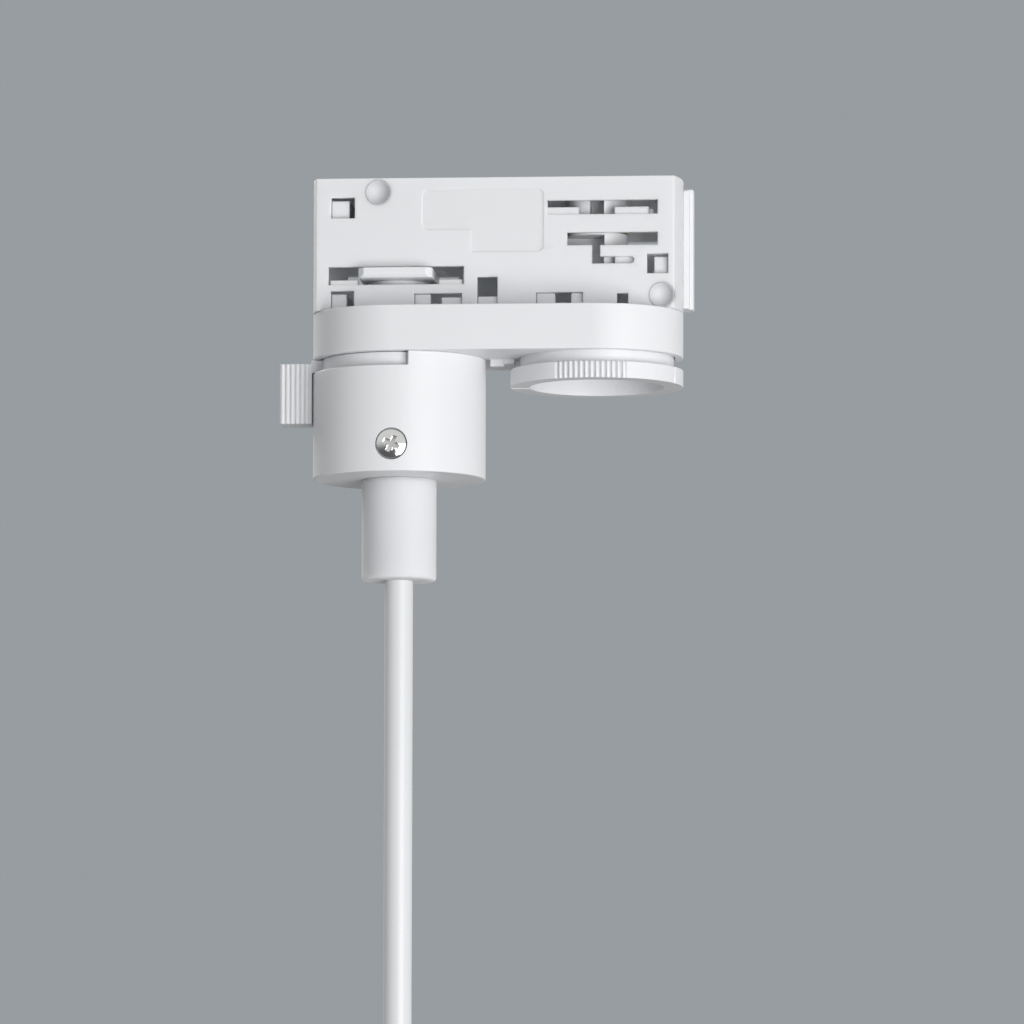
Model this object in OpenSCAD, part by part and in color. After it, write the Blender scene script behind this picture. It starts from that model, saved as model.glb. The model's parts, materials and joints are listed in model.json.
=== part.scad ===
// Pendant adapter for a three-circuit lighting track.
// Sizes are in millimetres. X runs along the track, Y away from the viewer, Z up.
// The origin is on the collar's top face, midway between the lock axis and the selector axis.

/* [Collar] */
// Distance between the lock axis and the selector axis
axis_spacing = 39; // [36:0.5:42]
// Outer radius of the collar ends, the pot and the selector ring
body_radius = 17; // [15:0.25:19]
// Collar height below the track seat
collar_height = 9; // [7:0.25:12]
// Side wall of the collar
collar_wall = 1.6; // [1:0.1:2.4]
// Plate that closes the collar at the track seat
collar_roof = 1.6; // [1:0.1:2.4]
// Plate that closes the collar from below
base_thickness = 1.8; // [1.2:0.1:2.4]
// Height of the index nib under the base plate
nib_height = 1.4; // [0.6:0.1:1.8]
// Half width of the index nib
nib_half = 1.6; // [1:0.1:2]
// Radius of the posts between the plate and the collar roof
post_radius = 2.1; // [1.6:0.1:2.6]
// Radius of the snap pins on those posts
post_pin = 1.3; // [1:0.1:1.5]

/* [Tower] */
// Depth of the tower from face to face
box_depth = 16; // [14:0.25:18]
// Height of the tower above the track seat
box_height = 26.2; // [24:0.1:28]
// Wall of the two shells
box_wall = 1.3; // [1:0.1:1.8]
// Plan radius of the bowed ends
end_bow = 26; // [20:0.5:40]
// Depth of the bare label panel in the front face
panel_depth = 0.2; // [0.1:0.05:0.4]
// Corner radius of the label panel
panel_round = 1.2; // [0.6:0.1:1.6]
// Head radius of the dished housing pins
pin_head_radius = 2.45; // [2:0.05:3]
// Head length of the dished housing pins
pin_head_length = 2.6; // [2:0.1:3.2]
// Shank radius of the dished housing pins
pin_shank_radius = 1.6; // [1:0.1:2]
// Depth of the dish in each pin
pin_dish = 1.6; // [0.8:0.1:1.8]
// How far the guide key stands out of the tower end
key_reach = 1.9; // [1:0.1:2.4]
// Half thickness of the partition ribs inside
rib_half = 0.7; // [0.5:0.1:1]

/* [Lock] */
// Outer radius of the hollow lock rotor
lock_radius = 5.2; // [4.6:0.1:5.4]
// Bore radius of the hollow lock rotor
lock_bore = 3.4; // [3:0.1:3.6]
// Reach of the locking wing from its axis
wing_reach = 10.75; // [9.5:0.25:11]
// Half width of the locking wing
wing_half_width = 7.3; // [6:0.1:7.5]
// Corner cut of the locking wing
wing_corner = 1.13; // [0.8:0.01:1.6]
// Underside of the locking wing above the track seat
wing_low = 6.2; // [6:0.1:6.6]
// Thickness of the locking wing
wing_thick = 2; // [1.6:0.1:2.2]
// Wall of the lever hub round the rotor
hub_wall = 1.6; // [1.2:0.1:2]
// Thickness of the lever ring
lever_thick = 2.55; // [2:0.05:3]
// Half width of the lever arm
lever_arm_half = 2.7; // [2:0.1:3.2]
// How far the lever knob stands out of the pot
knob_reach = 6.4; // [4:0.1:8]
// How far the lever knob hangs below the lever ring
knob_drop = 10.1; // [6:0.1:13]
// Half thickness of the lever knob
knob_half = 3; // [2.4:0.1:3.6]
// Number of grip ribs on each side of the knob
knob_ribs = 6; // [4:1:7]
// Radius of each grip rib
knob_rib_radius = 0.4; // [0.2:0.02:0.45]
// Thickness of the retaining clip
clip_thick = 0.6; // [0.4:0.1:0.8]

/* [Selector] */
// Shaft radius of the selector rotor
shaft_radius = 4.5; // [4:0.1:5]
// Fork radius of the selector rotor
fork_radius = 6.2; // [5.4:0.1:6.3]
// Radius of the upper bearing pin of the selector rotor
pivot_radius = 2; // [1.5:0.1:2.4]
// Wall of the selector neck
neck_wall = 2; // [1.4:0.1:3]
// How far the selector ring hangs below the collar
ring_drop = 2.4; // [1.8:0.1:3]
// Thickness of the selector ring
ring_thick = 3.3; // [2.5:0.1:4.5]
// Thickness of the web inside the selector ring
web_thick = 1.6; // [1:0.1:2]
// Number of grip grooves at the front of the ring
ring_grooves = 14; // [8:1:20]
// Radius of each grip groove
groove_radius = 0.4; // [0.2:0.05:0.5]
// Head radius of the selector screw
selector_head = 3; // [2.5:0.1:3.5]
// Height of the middle contacts above the track seat
contact_level = 15.4; // [14.5:0.1:16]
// Height of the slip ring
slip_height = 1.4; // [1:0.1:1.6]
// Reach of the contact fingers from their axis
finger_reach = 10.6; // [9.5:0.1:10.7]
// Half width of the contact fingers
finger_half = 1.5; // [1:0.1:1.6]
// Thickness of the contact fingers
finger_thick = 0.8; // [0.5:0.1:0.9]
// Thickness of the leaf contacts
leaf_thick = 0.6; // [0.4:0.1:0.8]

/* [Cable outlet] */
// Height of the cable pot
pot_height = 23.75; // [21:0.05:27]
// Wall of the cable pot
pot_wall = 1.5; // [1.1:0.1:2]
// Floor of the cable pot
pot_floor = 2.4; // [1.8:0.1:3]
// Radius of the screw bosses in the pot
boss_radius = 2.4; // [2:0.1:2.6]
// Radius of the pot screws
pot_screw_radius = 1.1; // [0.9:0.05:1.3]
// Length of the pot screws below the plate
pot_screw_length = 10; // [8:0.5:12]
// Height of the clamp screw above the pot's underside
clamp_height = 5.35; // [5:0.05:7]
// Head radius of the clamp screw
screw_head = 2.9; // [2.5:0.1:3.2]
// Depth of the spot face under the clamp screw
screw_seat = 1.4; // [1:0.1:1.8]
// Thread radius of the clamp screw
clamp_thread = 1.5; // [1.2:0.1:1.8]
// Half width of the cable clamp
clamp_half_width = 5; // [4:0.1:6]
// Half height of the cable clamp
clamp_half_height = 2.5; // [2:0.1:2.7]
// Reach of the cable clamp from the cable's centre
clamp_reach = 9.5; // [8:0.1:11]
// Radius of the cable
cord_radius = 2.8; // [2.4:0.1:3]
// Jacket of the cable outside its cores
jacket_wall = 0.15; // [0.1:0.05:0.3]
// Radius of each insulated core
core_radius = 0.95; // [0.8:0.05:1.05]
// Radius of the bends of the cores
core_bend = 1.6; // [1.4:0.1:2]
// Radius of the cable sleeve
sleeve_radius = 7.35; // [6.5:0.05:8.5]
// Length of the cable sleeve below the pot
sleeve_length = 19.95; // [16:0.05:26]
// Rounding of the sleeve's lower rim
sleeve_round = 0.6; // [0.4:0.1:1.5]
// Free length of the cable, from the sleeve to the cord grip
cord_length = 97.3; // [80:0.1:150]
// Radius of the cord grip body
grip_radius = 6.5; // [5.5:0.1:8]
// Length of the cord grip body
grip_length = 16; // [12:0.5:20]
// Radius of the threaded nipple under the cord grip
nipple_radius = 5; // [4:0.5:6]
// Length of the threaded nipple
nipple_length = 10; // [8:0.5:14]

/* [Fits] */
// Radial running clearance of the rotors
run_gap = 0.08; // [0.04:0.01:0.1]
// Clearance of pieces that sit in each other
seat_gap = 0.05; // [0.03:0.01:0.1]
// Clearance between moving pieces and what they pass
pass_gap = 0.3; // [0.2:0.05:0.4]

/* [Hidden] */
$fn = 96;
e = 0.01;
ax = -axis_spacing / 2;
bx = axis_spacing / 2;
// The tower's ends are flush with the collar's
end_x = bx + body_radius;
half_depth = box_depth / 2;
inner_depth = half_depth - box_wall;
roof_z = box_height - box_wall;
bow_x = end_x - end_bow;
hollow_radius = body_radius - collar_wall;
base_high = base_thickness - collar_height;
// Pot, sleeve and cable, from the collar down
pot_low = -collar_height - pot_height;
floor_z = pot_low + pot_floor;
pot_inner = body_radius - pot_wall;
clamp_z = pot_low + clamp_height;
sleeve_low = pot_low - sleeve_length;
sleeve_neck = cord_radius + 2;
sleeve_lip = sleeve_neck + 0.6;
cord_low = sleeve_low - cord_length;
core_pitch = cord_radius - core_radius - jacket_wall;
core_low = floor_z + 0.8;
core_grip = 0.15 * core_bend;
jacket_top = clamp_z + clamp_height;
// Lever, from its hub out to the knob
lever_high = -collar_height - 0.12;
lever_low = lever_high - lever_thick;
knob_high = lever_high - 0.8;
knob_low = lever_low - knob_drop;
knob_end = body_radius + knob_reach;
hub_radius = lock_radius + hub_wall;
boss_pitch = hub_radius + pass_gap + boss_radius;
ring_in = boss_pitch + boss_radius + pass_gap;
ring_out = pot_inner - pass_gap;
sector = atan2(lever_arm_half + pass_gap * 2, body_radius);
clip_z = lever_low - 0.1;
wing_high = wing_low + wing_thick;
// Selector ring, and the levels of the contacts
neck_radius = hollow_radius - pass_gap;
ring_bore = neck_radius - neck_wall;
ring_high = -collar_height - ring_drop;
ring_low = ring_high - ring_thick;
web_high = base_high + 0.6;
web_low = web_high - web_thick;
hub_high = -collar_roof - 0.4;
// Angles of the two contact fingers while no circuit is picked
upper_park = 45;
lower_park = 135;
upper_z = box_height - 5.75;
lower_z = contact_level - 2;
neutral_z = contact_level;
lock_top = neutral_z + finger_thick + 0.4;
slip_low = contact_level;
slip_high = slip_low + slip_height;
flange_radius = inner_depth - 0.4;
drum_radius = inner_depth - 0.5;
slip_radius = drum_radius - 0.1;
fork_low = slip_high + 0.7;
fork_high = upper_z + 1.75;
pivot_low = upper_z - 0.45;
// Partition ribs stand clear of the sweep of the wing
wing_sweep = norm([wing_half_width - wing_corner, wing_reach]);
rib_x = -ax - wing_sweep - pass_gap - rib_half;
rib_top = slip_low + 0.2;
core_run = rib_top + leaf_thick + core_radius + 0.55;
earth_run = core_run + 2 * core_radius + 0.2;
earth_end = wing_high + 1.5 * wing_thick;
// Housing pins, and where each is
pin_x = [ax - 3.6, end_x - 3.7];
pin_z = [box_height - 2.8, 2.6];
pin_step = 1.2;
// Windows along the foot of the tower: start, width, height
foot_windows = [[ax + 3.6, 9.4, 3.3], [-3.5, 4, 6.45], [bx - 11.4, 9.2, 3.3], [bx + 4.5, 2.2, 3]];
// Collar lugs in those windows: window, offset, width, height
foot_lugs = [[0, seat_gap, 3.1, 3.3 - seat_gap], [0, 5.3, 4.05, 2.6], [1, seat_gap, 3.9, 2.7],
    [2, seat_gap, 3.65, 3.3 - seat_gap], [2, 6.8, 2.35, 3.3 - seat_gap]];
// The windows at the rear are lower, and so are the lugs in them
rear_foot = 1.5;
// Catches between the shells: window start, width, low, height, hook offset, hook width
catches = [[4.1 - end_x, 4.7, box_height - 7.9, 4.1, 0.1, 3.4], [4.1 - end_x, 4.6, -1, 4.9, 0.1, 2.9],
    [end_x - 6.6, 4.2, 6.9, 3.9, 1.4, 2.7]];
catch_play = 0.06;

// Helpers

module span(x0, x1, y0, y1, z0, z1) {
    translate([x0, y0, z0]) cube([x1 - x0, y1 - y0, z1 - z0]);
}

module disc(r, z0, z1) {
    translate([0, 0, z0]) cylinder(r = r, h = z1 - z0);
}

module tube(r_out, r_in, z0, z1) {
    difference() {
        disc(r_out, z0, z1);
        disc(r_in, z0 - 1, z1 + 1);
    }
}

module at_lock() {
    translate([ax, 0, 0]) children();
}

module at_selector() {
    translate([bx, 0, 0]) children();
}

module stadium(r, z0, z1) {
    translate([0, 0, z0])
        linear_extrude(height = z1 - z0)
            union() {
                translate([ax, 0]) circle(r = r);
                translate([bx, 0]) circle(r = r);
                translate([ax, -r]) square([axis_spacing, 2 * r]);
            }
}

// A pie slice between two angles, for cuts round an axis
module slice(r, a0, a1, z0, z1) {
    translate([0, 0, z0])
        linear_extrude(height = z1 - z0)
            polygon([for (i = [-1 : 6])
                i < 0 ? [0, 0] : r * [cos(a0 + (a1 - a0) * i / 6), sin(a0 + (a1 - a0) * i / 6)]]);
}

// A rod along Y, from y0 to y1
module y_rod(r, x, z, y0, y1) {
    translate([x, y0, z]) rotate([-90, 0, 0]) cylinder(r = r, h = y1 - y0);
}

// The plan of the tower, grown inwards by a wall
module tower(inset, z0, z1) {
    intersection() {
        span(-end_x, end_x, -half_depth + inset, half_depth - inset, z0, z1);
        union() {
            translate([bow_x, 0, 0]) disc(end_bow - inset, z0, z1);
            translate([-bow_x, 0, 0]) disc(end_bow - inset, z0, z1);
        }
    }
}

// A flat contact finger with a round tip, pointing along X
module finger(root, z0) {
    tip = finger_reach - finger_half;
    span(root, tip, -finger_half, finger_half, z0, z0 + finger_thick);
    translate([tip, 0, 0]) disc(finger_half, z0, z0 + finger_thick);
}

// Tower shells

module lower_windows(y0, y1, top) {
    for (w = foot_windows) span(w[0], w[0] + w[1], y0, y1, -1, min(w[2], top));
}

module wing_slot(y0, y1) {
    half = wing_reach + 2.6;
    span(ax - half, ax + half, y0, y1, wing_low - 1.1, wing_high + 0.45);
}

// A stepped panel with round corners, sunk in the front face
module label_panel() {
    y0 = -half_depth - 1;
    y1 = -half_depth + panel_depth;
    c = panel_round;
    left = ax + 5.1;
    step = ax + 14.8;
    right = bx - 10;
    top = box_height - 2.3;
    middle = top - 8;
    low = middle - 4.5;
    span(left + c, right - c, y0, y1, middle, top);
    span(left, right, y0, y1, middle + c, top - c);
    for (x = [left + c, right - c]) y_rod(c, x, top - c, y0, y1);
    y_rod(c, left + c, middle + c, y0, y1);
    span(step, right - c, y0, y1, low, middle + c);
    span(step + c, right, y0, y1, low + c, middle + c);
    y_rod(c, right - c, low + c, y0, y1);
}

// Slots of the contact fingers in the front face, with the stepped slot under them
module finger_slots(y0, y1) {
    far = bx + finger_reach + 1.9;
    foot = lower_z - 4.5;
    turn = 0.7;
    span(bx - 9.2, far, y0, y1, upper_z - 1.75, upper_z + 1.05);
    span(bx - 5.3, far, y0, y1, lower_z - 0.85, lower_z + 1.7);
    span(bx - 0.4, bx + 1.2, y0, y1, foot, lower_z - 0.4);
    span(bx - 0.4, bx + 7.2, y0, y1, foot, foot + 2 * turn);
    y_rod(turn, bx + 7.2, foot + turn, y0, y1);
}

// Counterbored seat of each pin, and the boss behind it
module pin_seats() {
    for (i = [0, 1]) {
        intersection() {
            tower(0, 0, box_height);
            y_rod(pin_head_radius + 1, pin_x[i], pin_z[i], -half_depth,
                pin_head_length + pin_step - half_depth);
        }
    }
}

module front_shell() {
    out = -half_depth - 1;
    back = -inner_depth + 0.5;
    ledge = [-half_depth + 0.4, -inner_depth + 1.1];
    color([0.88, 0.89, 0.9])
    difference() {
        union() {
            difference() {
                intersection() {
                    tower(0, 0, box_height);
                    span(-end_x, end_x, -box_depth, 0, -1, box_height + 1);
                }
                tower(box_wall, -1, roof_z);
                label_panel();
                wing_slot(out, back);
                for (c = catches) span(c[0], c[0] + c[1], out, back, c[2], c[2] + c[3]);
                finger_slots(out, back);
                lower_windows(out, back, box_height);
            }
            pin_seats();
            // Set-back ledges seen through the slots
            for (x = [[-wing_reach - 2.25, 5.4], [wing_reach - 2.35, 4.6]])
                span(ax + x[0], ax + x[0] + x[1], ledge[0], ledge[1], wing_low - 1.8, wing_low - 0.15);
            for (x = [[-9.2, 6.2], [4, 6.7]])
                span(bx + x[0], bx + x[0] + x[1], ledge[0], ledge[1], upper_z - 2.45, upper_z - 0.3);
            span(bx + 4, bx + 8.4, -inner_depth - e, ledge[1], lower_z - 4.9, lower_z - 2.7);
            // Front half of the upper bearing
            at_selector() intersection() {
                disc(2 * pivot_radius, roof_z - 1.6, roof_z + e);
                span(-inner_depth, inner_depth, -inner_depth, 0, 0, box_height);
            }
        }
        for (i = [0, 1]) {
            y_rod(pin_head_radius + seat_gap, pin_x[i], pin_z[i], out, pin_head_length - half_depth);
            y_rod(pin_shank_radius + seat_gap, pin_x[i], pin_z[i], out, 0);
        }
        at_selector() disc(pivot_radius + run_gap, pivot_low, roof_z - 0.1);
    }
}

// A hook of the rear shell into a window of the front one
module hook(c) {
    x = c[0] + c[4];
    span(x, x + c[5], -inner_depth - 0.1, inner_depth + e, max(c[2], 0) + catch_play, c[2] + c[3] - 0.55);
}

// A boss behind a housing pin, clear of the front shell where it reaches into it
module pin_boss(i) {
    y0 = pin_head_length + pin_step - half_depth;
    r = pin_shank_radius + 1.4;
    intersection() {
        tower(box_wall + seat_gap, 0, roof_z - seat_gap);
        y_rod(r, pin_x[i], pin_z[i], y0, e);
    }
    intersection() {
        tower(0, 0, box_height);
        y_rod(r, pin_x[i], pin_z[i], 0, inner_depth + e);
    }
}

module rear_shell() {
    out = half_depth + 1;
    back = inner_depth - 0.5;
    sweep = sqrt(pow(wing_sweep, 2) - pow(inner_depth, 2)) + 2 * pass_gap;
    color([0.87, 0.88, 0.9])
    difference() {
        union() {
            difference() {
                intersection() {
                    tower(0, 0, box_height);
                    span(-end_x, end_x, 0, box_depth, -1, box_height + 1);
                }
                tower(box_wall, -1, roof_z);
                span(ax - sweep, ax + sweep, back, out, wing_low - 0.2, wing_high + 0.2);
                span(ax - sweep, ax + finger_half + 0.7, back, out, wing_high, wing_high + 0.45);
                span(ax - finger_reach + 0.4, ax + finger_half + 0.7, back, out,
                    neutral_z - 0.5, neutral_z + finger_thick + 0.5);
                span(bx - finger_reach + 0.4, bx + finger_reach + 1.9, back, out, lower_z - 0.85, lower_z + 1.7);
                span(bx + 2.6, bx + finger_reach, back, out, upper_z - 0.5, upper_z + finger_thick + 0.5);
            }
            for (c = catches) hook(c);
            // Partition ribs that carry the leaf contacts
            for (x = [-rib_x, rib_x])
                span(x - rib_half, x + rib_half, -3, inner_depth + e, foot_windows[0][2] + pass_gap, rib_top);
            for (i = [0, 1]) pin_boss(i);
            // Rear half of the upper bearing
            at_selector() intersection() {
                disc(2 * pivot_radius, roof_z - 1.6, roof_z + e);
                span(-inner_depth, inner_depth, 0, inner_depth, 0, box_height);
            }
        }
        for (i = [0, 1])
            y_rod(pin_shank_radius + seat_gap, pin_x[i], pin_z[i], -half_depth, inner_depth - 1.2);
        at_selector() disc(pivot_radius + run_gap, pivot_low, roof_z - 0.1);
        lower_windows(back, out, rear_foot);
    }
}

module housing_pins() {
    ball = (pow(pin_head_radius - 0.15, 2) + pow(pin_dish, 2)) / (2 * pin_dish);
    color([0.86, 0.87, 0.89])
    for (i = [0, 1])
        difference() {
            union() {
                y_rod(pin_head_radius, pin_x[i], pin_z[i], -half_depth, pin_head_length - half_depth);
                y_rod(pin_shank_radius, pin_x[i], pin_z[i], -half_depth + 1, inner_depth - 1.4);
            }
            translate([pin_x[i], -half_depth - ball + pin_dish, pin_z[i]]) sphere(r = ball);
        }
}

module guide_key() {
    tip = end_x + key_reach;
    top = box_height - 1.5;
    color([0.9, 0.91, 0.92])
    difference() {
        union() {
            span(end_x - 2, tip - 0.7, -0.5, half_depth - 2, 0.8, top - 0.5);
            span(end_x - 2, tip, 1.4, half_depth - 3.4, 0.8, top);
        }
        tower(0, -1, box_height + 1);
    }
}

// Collar and plate

module lugs(top) {
    y0 = -half_depth + 0.9;
    y1 = -inner_depth + 0.9;
    for (g = foot_lugs) {
        x = foot_windows[g[0]][0] + g[1];
        span(x, x + g[2], y0, y1, -e, min(g[3], top));
    }
}

module post_pair(r, z0, z1) {
    for (s = [-1, 1])
        translate([bx - neck_radius - 9, s * (hollow_radius - post_radius - 1.8), 0]) disc(r, z0, z1);
}

module base_collar() {
    color([0.89, 0.9, 0.91])
    difference() {
        union() {
            difference() {
                stadium(body_radius, -collar_height, 0);
                stadium(hollow_radius, -collar_height - 1, -collar_roof);
            }
            lugs(box_height);
            mirror([0, 1, 0]) lugs(rear_foot - 0.3);
        }
        at_lock() disc(lock_radius + run_gap, -collar_height, 5);
        at_selector() disc(shaft_radius + run_gap, -collar_height, 5);
        post_pair(post_pin + seat_gap, -collar_height, 1);
    }
}

module base_plate() {
    nib_low = -collar_height - nib_height;
    nib_start = ax + body_radius + 1;
    nib_end = bx - neck_radius - 1.1;
    nib_step = nib_end - 0.43 * (nib_end - nib_start);
    color([0.87, 0.88, 0.89])
    difference() {
        union() {
            difference() {
                stadium(hollow_radius - seat_gap, -collar_height, base_high);
                at_selector() {
                    disc(neck_radius + pass_gap / 2, -collar_height - 1, 1);
                    span(-shaft_radius, body_radius, -body_radius, body_radius, -collar_height - 1, 1);
                }
            }
            // Snap posts up to the collar roof
            post_pair(post_radius, base_high - e, -collar_roof);
            post_pair(post_pin, -collar_roof - e, -0.1);
            // Index nib for the selector, under the plate
            span(nib_start, nib_step + e, -nib_half + 0.6, nib_half - 0.6, nib_low, base_high);
            span(nib_step, nib_end, -nib_half, nib_half, nib_low + 0.4, base_high);
        }
        at_lock() {
            disc(hub_radius + pass_gap, -collar_height - 1, 1);
            for (a = [0, 90]) rotate([0, 0, a])
                translate([boss_pitch, 0, 0]) disc(pot_screw_radius + 4 * seat_gap, -collar_height - 1, 1);
        }
    }
}

module detent_spring() {
    x = bx - neck_radius - 1.1;
    color([0.72, 0.72, 0.7]) {
        span(x - 0.5, x, -5, 5, base_high, -collar_roof - 0.4);
        span(x - 4.5, x - 0.4, -2, 2, base_high, base_high + 0.5);
    }
}

// Cable outlet

module cable_pot() {
    color([0.88, 0.89, 0.9])
    at_lock() difference() {
        union() {
            difference() {
                disc(body_radius, pot_low, -collar_height);
                disc(pot_inner, floor_z, 0);
            }
            for (a = [0, 90]) rotate([0, 0, a])
                translate([boss_pitch, 0, 0]) disc(boss_radius, floor_z - e, -collar_height);
            // Rear saddle of the cable clamp
            span(-clamp_half_width, clamp_half_width, 0.6, clamp_reach - 1.5, floor_z - e,
                clamp_z + clamp_half_height);
            // Spot face behind the clamp screw
            intersection() {
                y_rod(screw_head + 1.2, 0, clamp_z, -body_radius, -body_radius + screw_seat + 2);
                disc(body_radius, pot_low, 0);
            }
        }
        for (a = [0, 90]) rotate([0, 0, a])
            translate([boss_pitch, 0, 0])
                disc(pot_screw_radius + seat_gap, -collar_height - pot_screw_length - 3, 0);
        disc(cord_radius + seat_gap, floor_z, 0);
        disc(sleeve_neck + seat_gap, pot_low - 1, floor_z + 0.1);
        y_rod(screw_head + 0.25, 0, clamp_z, -body_radius - 2, -body_radius + screw_seat);
        y_rod(clamp_thread + run_gap, 0, clamp_z, -body_radius - 2, -body_radius + 6);
        // Slot in the rim that the lever arm swings through
        difference() {
            slice(body_radius * 2, 180 - sector, 270 + sector, lever_low - pass_gap / 2, 0);
            disc(pot_inner - 1, pot_low, 1);
        }
        // Snap lip room above the floor
        disc(sleeve_lip + seat_gap, floor_z, floor_z + 0.65);
    }
}

// A plain cross recess along Z, with arms of the given reach
module cross_recess(reach, z0, z1) {
    half = 0.2 * reach;
    span(-reach, reach, -half, half, z0, z1);
    span(-half, half, -reach, reach, z0, z1);
}

module pot_screws() {
    color([0.7, 0.71, 0.72])
    at_lock() for (a = [0, 90]) rotate([0, 0, a]) translate([boss_pitch, 0, 0]) {
        difference() {
            disc(2 * pot_screw_radius, base_high, base_high + 1.5);
            cross_recess(1.4 * pot_screw_radius, base_high + 0.8, base_high + 2);
        }
        disc(pot_screw_radius, -collar_height - pot_screw_length, base_high + e);
    }
}

module clamp_screw() {
    face = -body_radius + screw_seat;
    rise = 0.6 * screw_head;
    dome = 2.25 * screw_head;
    arm = 0.57 * screw_head;
    arm_half = 0.27 * arm;
    core = 0.45 * arm;
    color([0.8, 0.8, 0.79])
    at_lock() {
        difference() {
            intersection() {
                y_rod(screw_head, 0, clamp_z, face - rise, face);
                translate([0, face - rise + dome, clamp_z]) sphere(r = dome);
            }
            // Cross recess, turned as in the photograph
            translate([0, face - rise, clamp_z]) rotate([0, 28, 0]) {
                span(-arm, arm, -1, 0.75 * rise, -arm_half, arm_half);
                span(-arm_half, arm_half, -1, 0.75 * rise, -arm, arm);
                rotate([0, 45, 0]) span(-core, core, -1, 0.6 * rise, -core, core);
            }
        }
        y_rod(clamp_thread, 0, clamp_z, face - e, -clamp_reach / 2);
    }
}

module cord_clamp() {
    color([0.85, 0.86, 0.87])
    at_lock() difference() {
        span(-clamp_half_width, clamp_half_width, -clamp_reach, -0.6,
            max(clamp_z - clamp_half_height, floor_z + 0.6) + 0.1, clamp_z + clamp_half_height);
        disc(cord_radius + seat_gap, pot_low, 0);
        y_rod(clamp_thread + seat_gap, 0, clamp_z, -clamp_reach - 1, 0);
    }
}

module cord_sleeve() {
    bend = sleeve_round;
    side = [for (i = [0 : 4]) [sleeve_radius - bend + bend * sin(18 * i + 9),
        sleeve_low + bend - bend * cos(18 * i + 9)]];
    color([0.9, 0.91, 0.92])
    at_lock() rotate_extrude()
        polygon(concat([[cord_radius + seat_gap, sleeve_low], [sleeve_radius - bend, sleeve_low]], side,
            [[sleeve_radius, sleeve_low + bend], [sleeve_radius, pot_low], [sleeve_neck, pot_low],
                [sleeve_neck, floor_z], [sleeve_lip, floor_z], [sleeve_lip - 0.4, floor_z + 0.6],
                [cord_radius + seat_gap, floor_z + 0.6]]));
}

module cord_tail() {
    color([0.92, 0.92, 0.92])
    at_lock() difference() {
        disc(cord_radius, sleeve_low, jacket_top);
        for (a = [-30, 90, 210]) rotate([0, 0, a])
            translate([core_pitch, 0, 0]) disc(core_radius + seat_gap, core_low, 0);
    }
}

// A quarter bend of a core, from up along Z to level along X, a little fuller than the straight runs in it
module elbow() {
    translate([core_bend, 0, -core_bend]) rotate([90, 0, 0]) rotate([0, 0, 90])
        rotate_extrude(angle = 90) translate([core_bend, 0]) circle(r = 1.05 * core_radius);
}

// A level run of core along X, at the height z
module level_run(x0, x1, z) {
    translate([x0, 0, z]) rotate([0, 90, 0]) cylinder(r = core_radius, h = x1 - x0);
}

// Places a core at its angle round the lock axis, with its run turned to the yaw
module core_place(a, yaw) {
    at_lock() translate([core_pitch * cos(a), core_pitch * sin(a), 0]) rotate([0, 0, yaw]) children();
}

// An upright core with a level run out of the rotor
module core_path(a, run) {
    core_place(a, 0) {
        disc(core_radius, core_low, core_run - core_bend + core_grip);
        translate([0, 0, core_run]) elbow();
        level_run(core_bend - core_grip, run, core_run);
    }
}

module live_core() {
    color([0.45, 0.3, 0.18]) core_path(-30, rib_x + 1.4 - ax - core_pitch * cos(30));
}

module neutral_core() {
    color([0.2, 0.35, 0.7]) core_path(90, -rib_x - ax);
}

module earth_core() {
    run = flange_radius + pass_gap + 5.4;
    color([0.35, 0.6, 0.25]) core_place(210, -18) {
        disc(core_radius, core_low, earth_run - core_bend + core_grip);
        translate([0, 0, earth_run]) elbow();
        level_run(core_bend - core_grip, run - core_bend + core_grip, earth_run);
        translate([run, 0, earth_run]) mirror([1, 0, 0]) elbow();
        translate([run, 0, 0]) disc(core_radius, earth_end, earth_run - core_bend + core_grip);
    }
}

module live_brush() {
    color([0.8, 0.6, 0.3])
        span(rib_x - rib_half, bx - slip_radius - pass_gap, -2.2, 2.2, rib_top, rib_top + leaf_thick);
    color([0.8, 0.6, 0.3]) span(rib_x - rib_half, rib_x + 1, -2.2, 0.5, rib_top, core_run - core_radius);
}

module neutral_brush() {
    color([0.8, 0.6, 0.3]) {
        span(ax + inner_depth - 0.1 + pass_gap, -rib_x + rib_half, -2.2, 2.6, rib_top, rib_top + leaf_thick);
        span(-rib_x - 1.4, -rib_x + rib_half, 0.8, 2.6, rib_top, core_run - core_radius);
    }
}

module earth_brush() {
    color([0.8, 0.6, 0.3])
        span(ax + flange_radius + pass_gap, -rib_x - rib_half, -5.4, 1.5, earth_end - leaf_thick, earth_end);
}

module cord() {
    sides = 12;
    ring = [for (i = [0 : sides - 1]) cord_radius * [cos(360 * i / sides), sin(360 * i / sides)]];
    rows = [for (i = [0 : 4]) sleeve_low - cord_length * i / 4];
    color([0.93, 0.93, 0.93]) at_lock()
        polyhedron(
            points = [for (z = rows) for (p = ring) [p[0], p[1], z]],
            faces = concat(
                [[for (i = [0 : sides - 1]) sides - 1 - i]],
                [for (k = [0 : len(rows) - 2]) for (i = [0 : sides - 1])
                    [k * sides + i, k * sides + (i + 1) % sides,
                        (k + 1) * sides + (i + 1) % sides, (k + 1) * sides + i]],
                [[for (i = [0 : sides - 1]) (len(rows) - 1) * sides + i]]));
}

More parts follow.
